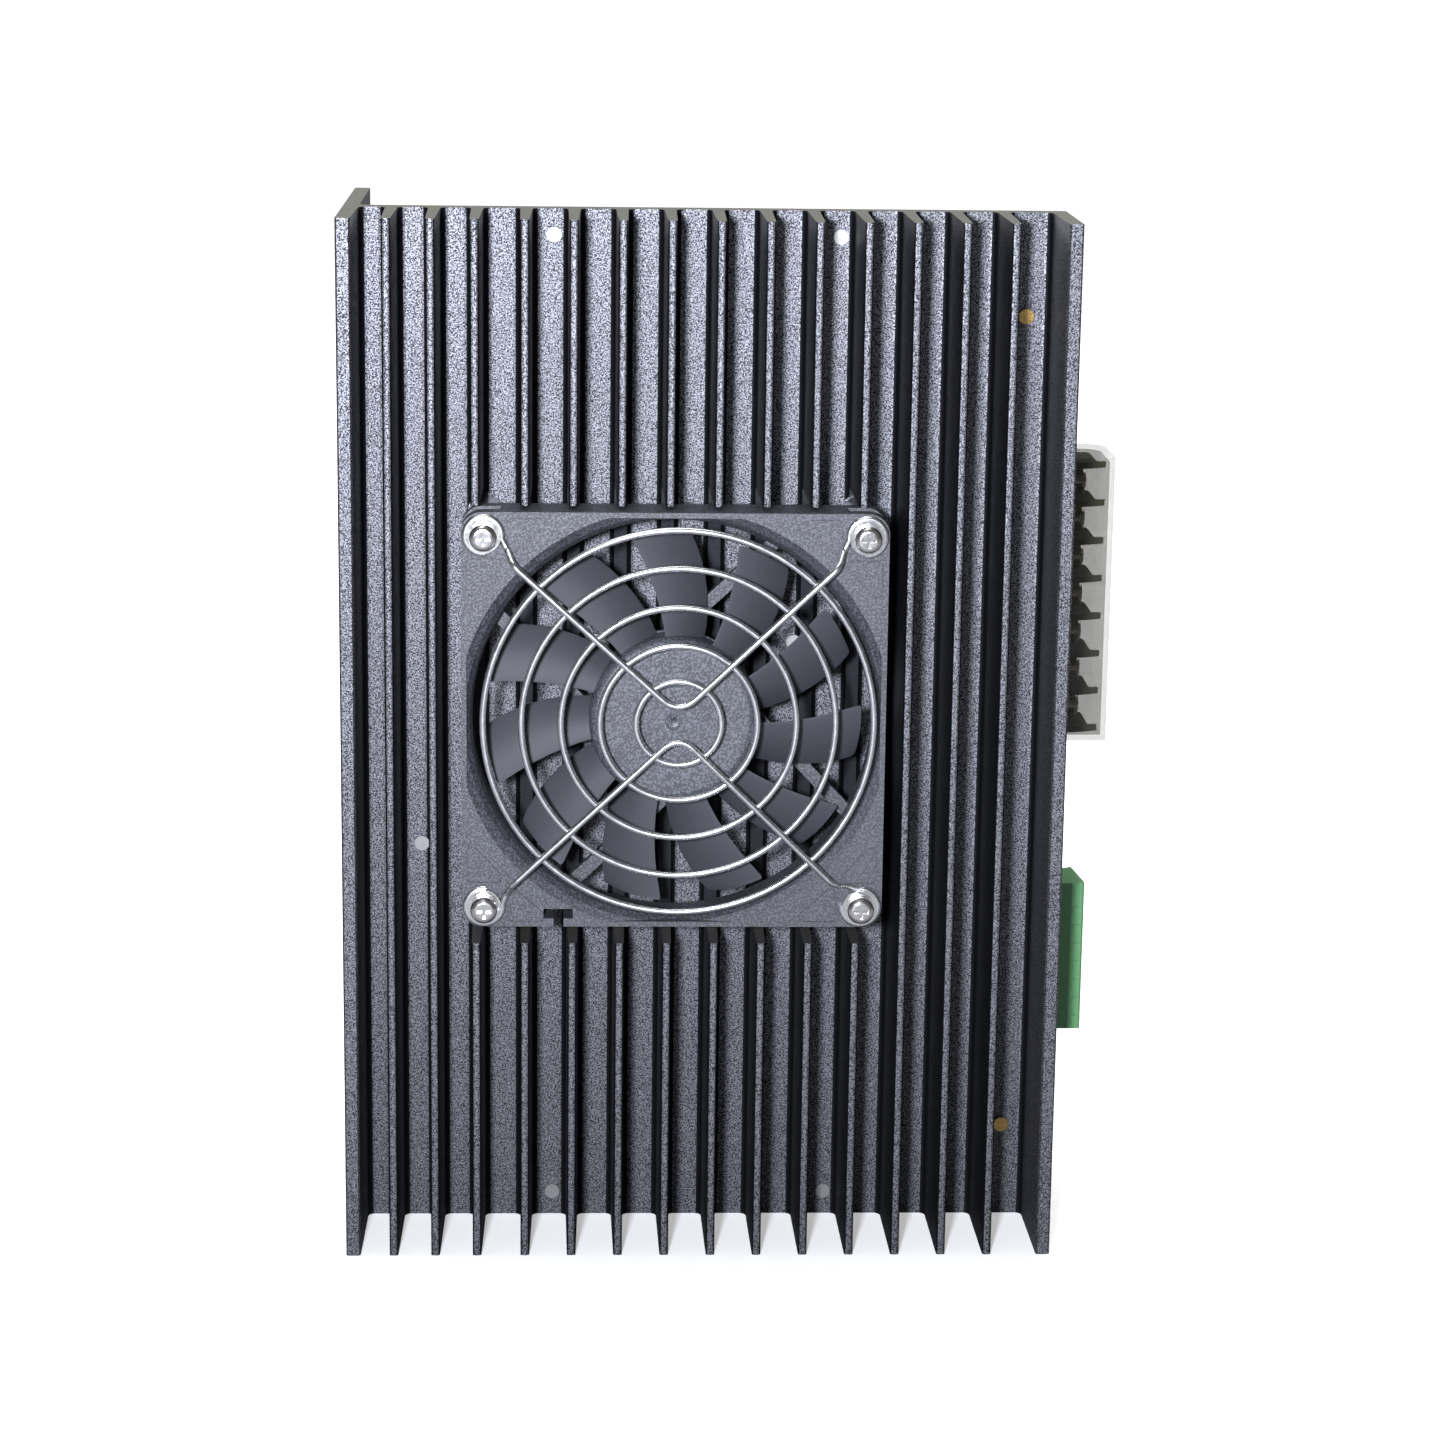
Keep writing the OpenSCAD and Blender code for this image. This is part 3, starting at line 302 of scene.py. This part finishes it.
def finish_piece(bm, name, body, materials, smooth=35):
    """Closes a mesh, makes it a piece with these materials, and lets it ride on its body."""
    bmesh.ops.remove_doubles(bm, verts=bm.verts, dist=0.000002)
    bmesh.ops.recalc_face_normals(bm, faces=bm.faces)
    piece = bpy.data.objects.new(name, bpy.data.meshes.new(name))
    bm.to_mesh(piece.data)
    bm.free()
    for material in materials:
        piece.data.materials.append(material)
    piece.data.polygons.foreach_set("use_smooth", [True] * len(piece.data.polygons))
    piece.data.set_sharp_from_angle(angle=math.radians(smooth))
    bpy.context.collection.objects.link(piece)
    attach(piece, body)
    return piece


def edges_of(bm, ring):
    """The edges that join a closed ring of vertices, in order."""
    return [bm.edges.get(ends) for ends in zip(ring, ring[1:] + ring[:1])]


def draw_out(bm, ring):
    """Extrudes a closed ring of vertices and returns the new ring in the same order."""
    new = bmesh.ops.extrude_edge_only(bm, edges=edges_of(bm, ring))["geom"]
    return [next(edge.other_vert(vert) for edge in vert.link_edges if edge.other_vert(vert) in new)
            for vert in ring]


def cap(bm, ring):
    """Closes the end of a tube with one face."""
    bmesh.ops.contextual_create(bm, geom=edges_of(bm, ring))


def quarter(radius, depth, size, steps=6):
    """A rounded outer edge between a front face at depth and a wall at radius."""
    turns = [math.pi / 2 * i / steps for i in range(steps + 1)]
    return [(radius - size + size * math.sin(t), depth + size - size * math.cos(t)) for t in turns]


def hub_shell(bm):
    """The cup of the hub, from the mark at its centre over the rounded shoulder to its inside."""
    wall = 1.2 * MM
    flat = [(1.8 * MM, HUB_FRONT), (HUB_RADIUS - SHOULDER - 0.3 * MM, HUB_FRONT)]
    turn(bm, [(r * MM, HUB_FRONT + y * MM) for r, y in CENTRE_MARK] + flat
         + quarter(HUB_RADIUS, HUB_FRONT, SHOULDER)
         + [(HUB_RADIUS, HUB_BACK), (HUB_RADIUS - wall, HUB_BACK),
            (HUB_RADIUS - wall, HUB_FRONT + wall), (0, HUB_FRONT + wall)])


def blade(bm, middle):
    """Lofts one blade: a rounded section at the hub, extruded station by station to the tip."""
    reach = [0, 0.15, 0.3, 0.45, 0.6, 0.75, 0.88, 0.96, 0.985, 1]
    narrowing = [1, 1, 1, 1, 1, 1, 1, 0.985, 0.96, 0.91]
    sides = 20
    ring = bmesh.ops.create_circle(bm, segments=sides, radius=MM)["verts"]
    for out, full in zip(reach, narrowing):
        if out:
            ring = draw_out(bm, ring)
        radius = BLADE_ROOT + (BLADE_TIP - BLADE_ROOT) * out
        chord = (CHORD_AT_ROOT + (CHORD_AT_TIP - CHORD_AT_ROOT) * out) * full
        for i, vert in enumerate(ring):
            around = 2 * math.pi * i / sides
            back = (1 - math.cos(around)) / 2
            bulge = math.sin(math.pi * back)
            thick = (EDGE_THICKNESS + SWELL * bulge) * (1 - THINNING * out)
            angle = middle + BLADE_SWEEP * out ** 1.2 + chord * (0.5 - back)
            deep = BLADE_DEPTH * (back - CAMBER * bulge) - thick * math.sin(around) / 2
            vert.co = (fan_centre.x + radius * math.cos(angle), BLADE_FRONT + deep,
                       fan_centre.z + radius * math.sin(angle))
        if out in (0, 1):
            cap(bm, ring)


bm = bmesh.new()
hub_shell(bm)
hub_faces = len(bm.faces)
for i in range(BLADES):
    blade(bm, FIRST_BLADE + 2 * math.pi * i / BLADES)
bm.faces.ensure_lookup_table()
for face in bm.faces[hub_faces:]:
    face.material_index = 1
hub_plastic = spark_textured("hub_plastic", (0.058, 0.062, 0.074))
blade_plastic = moulded("blade_plastic", (0.045, 0.047, 0.055), 0.58, 0.0002, 0.000008)
rotor = finish_piece(bm, "rotor_with_blades", "rotor", [hub_plastic, blade_plastic],
                     smooth=50)
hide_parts("fan_rotor")


# --- Fan motor ----------------------------------------------------------------------------------
# Behind the hub: a bonded ferrite ring in the cup, a ground steel shaft in an oil-filled bronze
# bearing, and six wound poles fixed to the frame.
def metal(name, colour, roughness=0.25, grain=0.0004, stretch=(1, 1, 1), depth=0.000004, spread=0.2):
    """Bare or plated metal: fine working marks in its gloss, drawn out along stretch."""
    finish = Finish(name)
    marks = finish.grain(grain, 3, stretch)
    cloud = finish.grain(0.006, 2)
    skin = finish.mix(cloud, shade(colour, 1 - spread), colour)
    return finish.lay(skin, roughness + 0.2 * (marks - 0.5), 1.0, height=marks, depth=depth)


dress(moulded("bonded_ferrite", (0.05, 0.047, 0.043), 0.6, 0.0005, 0.00004), "fan_magnet")
dress(metal("ground_steel", (0.62, 0.62, 0.64), 0.2, stretch=(1, 20, 1)), "fan_shaft")
dress(metal("sintered_bronze", (0.50, 0.34, 0.17), 0.5, 0.0003, depth=0.00003), "fan_bearing")


def enamelled_wire():
    finish = Finish("enamelled_copper")
    turns = finish.add("TexWave", {"bands_direction": "Y"},
                       {"Vector": finish.place, "Scale": 900, "Distortion": 0.6, "Detail": 1}, 1)
    return finish.lay(finish.mix(turns, (0.25, 0.07, 0.02), (0.72, 0.30, 0.12)), 0.3, 0.85,
                      height=turns, depth=0.00008)


dress(enamelled_wire(), "fan_stator")


# --- Finger guard -------------------------------------------------------------------------------
# Five rings of steel wire welded behind two bent legs and bright chromed. Each leg drops from the
# plane of the rings to the frame at its ends, where it turns round a fan screw.
guard_low, guard_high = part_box("finger_guard")
WIRE, WIRE_SIDES = 1.26 * MM / 2, 14
LEG_Y = guard_low.y + WIRE
WELD_SINK = 0.12 * MM
RING_Y = LEG_Y + 2 * WIRE - WELD_SINK
LOOP_Y = fan_front - WIRE
GUARD_CENTRE = fan_centre + Vector((0.8 * MM, 0, 0.6 * MM))
RINGS = [r * MM for r in (8.0, 14.8, 22.1, 29.5, 36.7)]
SCREW_OFFSET = 71.5 * MM / 2
LOOP_RADIUS, KNEE_REACH, APEX_RISE = 3.45 * MM, 7.6 * MM, 1.9 * MM
BEND_STARTS = [reach * MM for reach in (0.8, 1.4, 4.4, 1.4, 0.8)]


def wire_ring(bm, radius):
    middle = Vector((GUARD_CENTRE.x, RING_Y, GUARD_CENTRE.z))
    place = Matrix.Translation(middle + Vector((radius, 0, 0)))
    section = bmesh.ops.create_circle(bm, segments=WIRE_SIDES, radius=WIRE, matrix=place)["verts"]
    bmesh.ops.spin(bm, geom=section + edges_of(bm, section), cent=middle, axis=(0, 1, 0),
                   angle=2 * math.pi, steps=120, use_merge=True)


def rounded(corners, radii, steps=8):
    """A path through corners, each eased into a curve that starts this far from it."""
    path = [corners[0]]
    for before, corner, after, reach in zip(corners, corners[1:], corners[2:], radii):
        start = corner + (before - corner).normalized() * reach
        end = corner + (after - corner).normalized() * reach
        for i in range(steps + 1):
            t = i / steps
            path.append(start.lerp(corner, t).lerp(corner.lerp(end, t), t))
    return path + [corners[-1]]


def bend_wire(bm, path):
    """Draws wire along a path: a round section, extruded from point to point and turned to follow."""
    along = (path[1] - path[0]).normalized()
    place = Matrix.Translation(path[0]) @ along.to_track_quat("Z", "Y").to_matrix().to_4x4()
    ring = bmesh.ops.create_circle(bm, segments=WIRE_SIDES, radius=WIRE, matrix=place)["verts"]
    cap(bm, ring)
    for i in range(1, len(path)):
        onward = (path[min(i + 1, len(path) - 1)] - path[i - 1]).normalized()
        turn_to = along.rotation_difference(onward).to_matrix()
        ring = draw_out(bm, ring)
        for vert in ring:
            vert.co = path[i] + turn_to @ (vert.co - path[i - 1])
        along = onward
    cap(bm, ring)


def leg_end(side, up):
    """The loop round a screw, from where it leaves the knee: most of a turn, under the washer."""
    screw = fan_centre + Vector((side * SCREW_OFFSET, 0, up * SCREW_OFFSET))
    inward = Vector((-side, 0, -up)).normalized() * LOOP_RADIUS
    way = 1 if (side, up) == (-1, 1) else -1
    turns = [Matrix.Rotation(-way * math.radians(35 + 15 * i), 3, "Y") @ inward for i in range(20)]
    return [Vector((screw.x, LOOP_Y, screw.z)) + turned for turned in turns]


def leg_path(up):
    """One bent leg: screw loop, knee, the low bend at the guard's middle, knee and screw loop."""
    apex = Vector((GUARD_CENTRE.x, LEG_Y, GUARD_CENTRE.z + up * APEX_RISE))
    knees, lows, loops = [], [], []
    for side in (-1, 1):
        screw = Vector((fan_centre.x + side * SCREW_OFFSET, LEG_Y, fan_centre.z + up * SCREW_OFFSET))
        knee = screw + (apex - screw).normalized() * KNEE_REACH
        loop = leg_end(side, up)
        low = Vector((knee.x, LOOP_Y - 0.3 * MM, knee.z)).lerp(loop[0], 0.55)
        knees.append(knee)
        lows.append(low)
        loops.append(loop)
    bend = rounded([loops[0][0], lows[0], knees[0], apex, knees[1], lows[1], loops[1][0]], BEND_STARTS)
    return loops[0][:0:-1] + bend + loops[1][1:]


bm = bmesh.new()
for radius in RINGS:
    wire_ring(bm, radius)
for up in (-1, 1):
    bend_wire(bm, leg_path(up))
chromed_wire = metal("chromed_wire", (0.88, 0.88, 0.90), 0.27, 0.0015, spread=0.08)
guard = finish_piece(bm, "wire_guard", "drive", [chromed_wire])
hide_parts("finger_guard")


# --- Fan fixings --------------------------------------------------------------------------------
# Four zinc-plated M3 pan-head screws, each with a spring washer and a flat washer that clamp a
# loop of the guard. Turned aluminium spacers carry the fan's corners off the channel floors. The
# duller steel screws hold the cover, the boards and the power parts.
dress(metal("zinc_plate", (0.80, 0.79, 0.77), 0.22, 0.0008), "fan_screws", "fan_washers",
      "fan_spring_washers")
dress(metal("steel_screw", (0.40, 0.40, 0.39), 0.5, 0.0008), "cover_screws", "board_screws",
      "module_screws")
dress(metal("turned_aluminium", (0.55, 0.55, 0.57), 0.35, stretch=(1, 30, 1)), "fan_spacers")


# --- Cover --------------------------------------------------------------------------------------
# A folded steel sheet with louvres and cut-outs for the sockets, powder coated matt black. It is
# held by four small screws through tabs at the ends of the heat sink's plate.
def powder_coat():
    finish = Finish("powder_coat")
    peel = finish.grain(0.0009, 2)
    speck = finish.grain(0.00025, 2)
    skin = finish.mix(speck, (0.022, 0.022, 0.024), (0.05, 0.05, 0.053))
    return finish.lay(skin, 0.42 + 0.12 * peel, height=peel + 0.4 * speck, depth=0.00006)


dress(powder_coat(), "cover")


# --- Power terminals ----------------------------------------------------------------------------
# Seven screw terminals between ribs in a black block, with nickel-plated brass screws and clamps.
# A flap of smoke-tinted clear plastic snaps on two pips and swings clear of the screws.
dress(moulded("block_plastic", (0.018, 0.018, 0.02), 0.42, 0.0004, 0.00001), "terminal_block")
dress(metal("nickelled_brass", (0.66, 0.58, 0.42), 0.25, 0.0006), "terminal_screws", "terminal_clamps")


def smoky_clear():
    finish = Finish("smoky_clear")
    flow = finish.grain(0.008, 2)
    handling = finish.grain(0.0012, 3)
    tint = finish.mix(flow, (0.060, 0.060, 0.036), (0.085, 0.084, 0.054))
    return finish.lay(tint, 0.07 + 0.08 * handling, Alpha=0.38, height=flow, depth=0.00005)


dress(smoky_clear(), "terminal_flap")


# --- Signal plug --------------------------------------------------------------------------------
# An eight-way header on the control board and the screw plug that pushes into it, both moulded in
# green plastic, with tinned pins, steel clamp cages and slotted screws.
dress(moulded("plug_green", (0.12, 0.32, 0.13), 0.42, 0.0005, 0.00001, 0.15), "signal_plug",
      "signal_header")
dress(metal("tin", (0.70, 0.70, 0.68), 0.3), "header_pins", "plug_clamps", "encoder_shell")
dress(metal("slotted_steel", (0.6, 0.6, 0.6), 0.3), "plug_screws")


# --- Encoder socket -----------------------------------------------------------------------------
# A D-shaped socket with a tin-plated shell over a black insert, and two hexagonal jack screws.
dress(moulded("socket_black", (0.02, 0.02, 0.023), 0.4, 0.0003), "encoder_insert")
dress(metal("jack_nickel", (0.68, 0.66, 0.60), 0.25), "encoder_jackscrews")


# --- Setting switch and lamps -------------------------------------------------------------------
# A six-way slide switch with white levers in a red body, below it two status lamps, all standing
# on the control board behind cut-outs in the cover's side.
dress(moulded("switch_red", (0.42, 0.025, 0.02), 0.35, 0.0004, 0.000008), "switch_body")
dress(moulded("lever_white", (0.78, 0.78, 0.74), 0.4, 0.0003, 0.000008, 0.08),
      *(f"switch_lever_{n}" for n in range(1, 7)))
dress(moulded("lamp_green", (0.10, 0.50, 0.14), 0.15, 0.002, 0.000004, 0.15), "status_lamps")


# --- Circuit boards -----------------------------------------------------------------------------
# Two glass-epoxy boards under green solder mask. The power board stands on brass pillars over the
# plate, the control board on nylon posts over that, and a moulded strip connector joins them.
def solder_mask():
    finish = Finish("solder_mask")
    weave = finish.grain(0.0006, 1, stretch=(1, 1, 4))
    tracks = finish.add("TexBrick", {"offset": 0.35, "squash": 0.6},
                        {"Vector": finish.place, "Color1": (1, 1, 1), "Color2": (0.7, 0.7, 0.7),
                         "Mortar": (0, 0, 0), "Scale": 180, "Mortar Size": 0.03}, 0)
    copper = finish.mix(tracks, (0.012, 0.075, 0.03), (0.022, 0.15, 0.06))
    return finish.lay(copper, 0.25 + 0.1 * weave, height=tracks, depth=0.00003)


dress(solder_mask(), "power_board", "control_board")
dress(metal("turned_brass", (0.66, 0.44, 0.15), 0.28, 0.0006), "power_pillars")
dress(moulded("nylon", (0.72, 0.70, 0.64), 0.45, 0.0006, 0.00001, 0.1), "control_pillars")
dress(moulded("strip_black", (0.02, 0.02, 0.022), 0.45), "board_link", "control_chips")


# --- Power parts --------------------------------------------------------------------------------
# A rectifier bridge, a brake transistor and a three-phase module, each screwed to the plate over a
# silicone pad, with three bus capacitors, a choke and a relay on the board above them.
dress(moulded("epoxy_black", (0.025, 0.025, 0.028), 0.55, 0.0004, 0.00003), "rectifier",
      "brake_transistor", "power_module")
dress(moulded("silicone_pad", (0.50, 0.53, 0.58), 0.7, 0.0008, 0.00004), "thermal_pads")


def shrink_sleeve():
    finish = Finish("capacitor_sleeve")
    ends = finish.facing("y")
    wrap = finish.grain(0.003, 2, stretch=(1, 8, 1))
    skin = finish.mix(ends, (0.02, 0.024, 0.04), (0.62, 0.62, 0.63))
    return finish.lay(skin, 0.22 + 0.15 * wrap, ends, height=wrap, depth=0.00006)


dress(shrink_sleeve(), "bus_capacitors")
dress(moulded("coated_ferrite", (0.05, 0.16, 0.07), 0.5, 0.0006, 0.00004), "choke_core")
dress(enamelled_wire(), "choke_windings")
dress(moulded("relay_case", (0.55, 0.55, 0.52), 0.35, 0.0008, 0.00001, 0.08), "relay")
